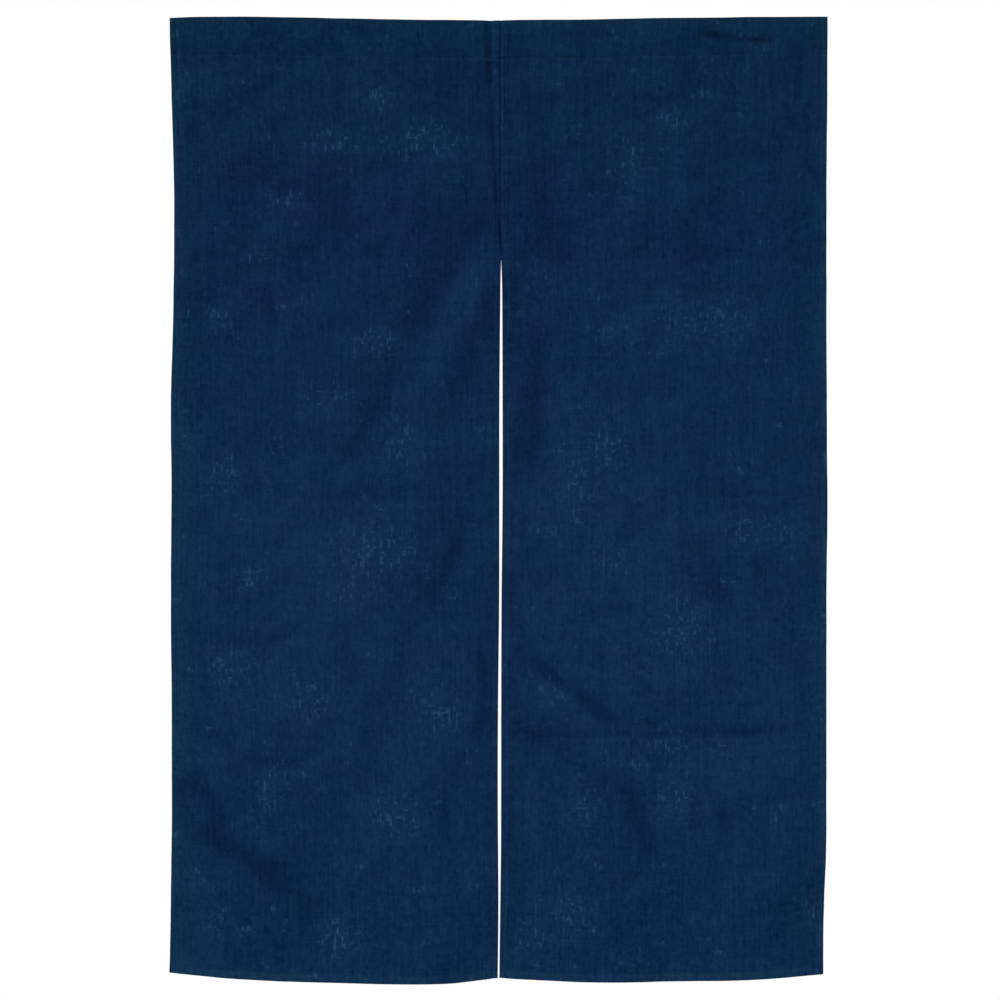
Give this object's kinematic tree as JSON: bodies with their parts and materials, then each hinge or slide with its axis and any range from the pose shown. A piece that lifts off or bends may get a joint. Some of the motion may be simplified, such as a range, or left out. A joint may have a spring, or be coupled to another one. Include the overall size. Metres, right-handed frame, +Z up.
{
  "type": "noren curtain",
  "caption": "Split doorway curtain in plain dark indigo linen, sewn together at the top, with a rod pocket along its top edge.",
  "frame": {"origin": "middle of the top edge, where the rod pocket turns over", "axes": "+Z up, +X to the viewer's right along the top edge, -Y out of the front face towards the viewer"},
  "size_m": [0.8814, 0.0218, 1.2948],
  "materials": {
    "indigo_linen": "matt piece-dyed dark indigo linen, plain weave with fine slubs"
  },
  "bodies": {
    "root": {"panel_left": "indigo_linen", "panel_right": "indigo_linen"}
  },
  "joints": []
}
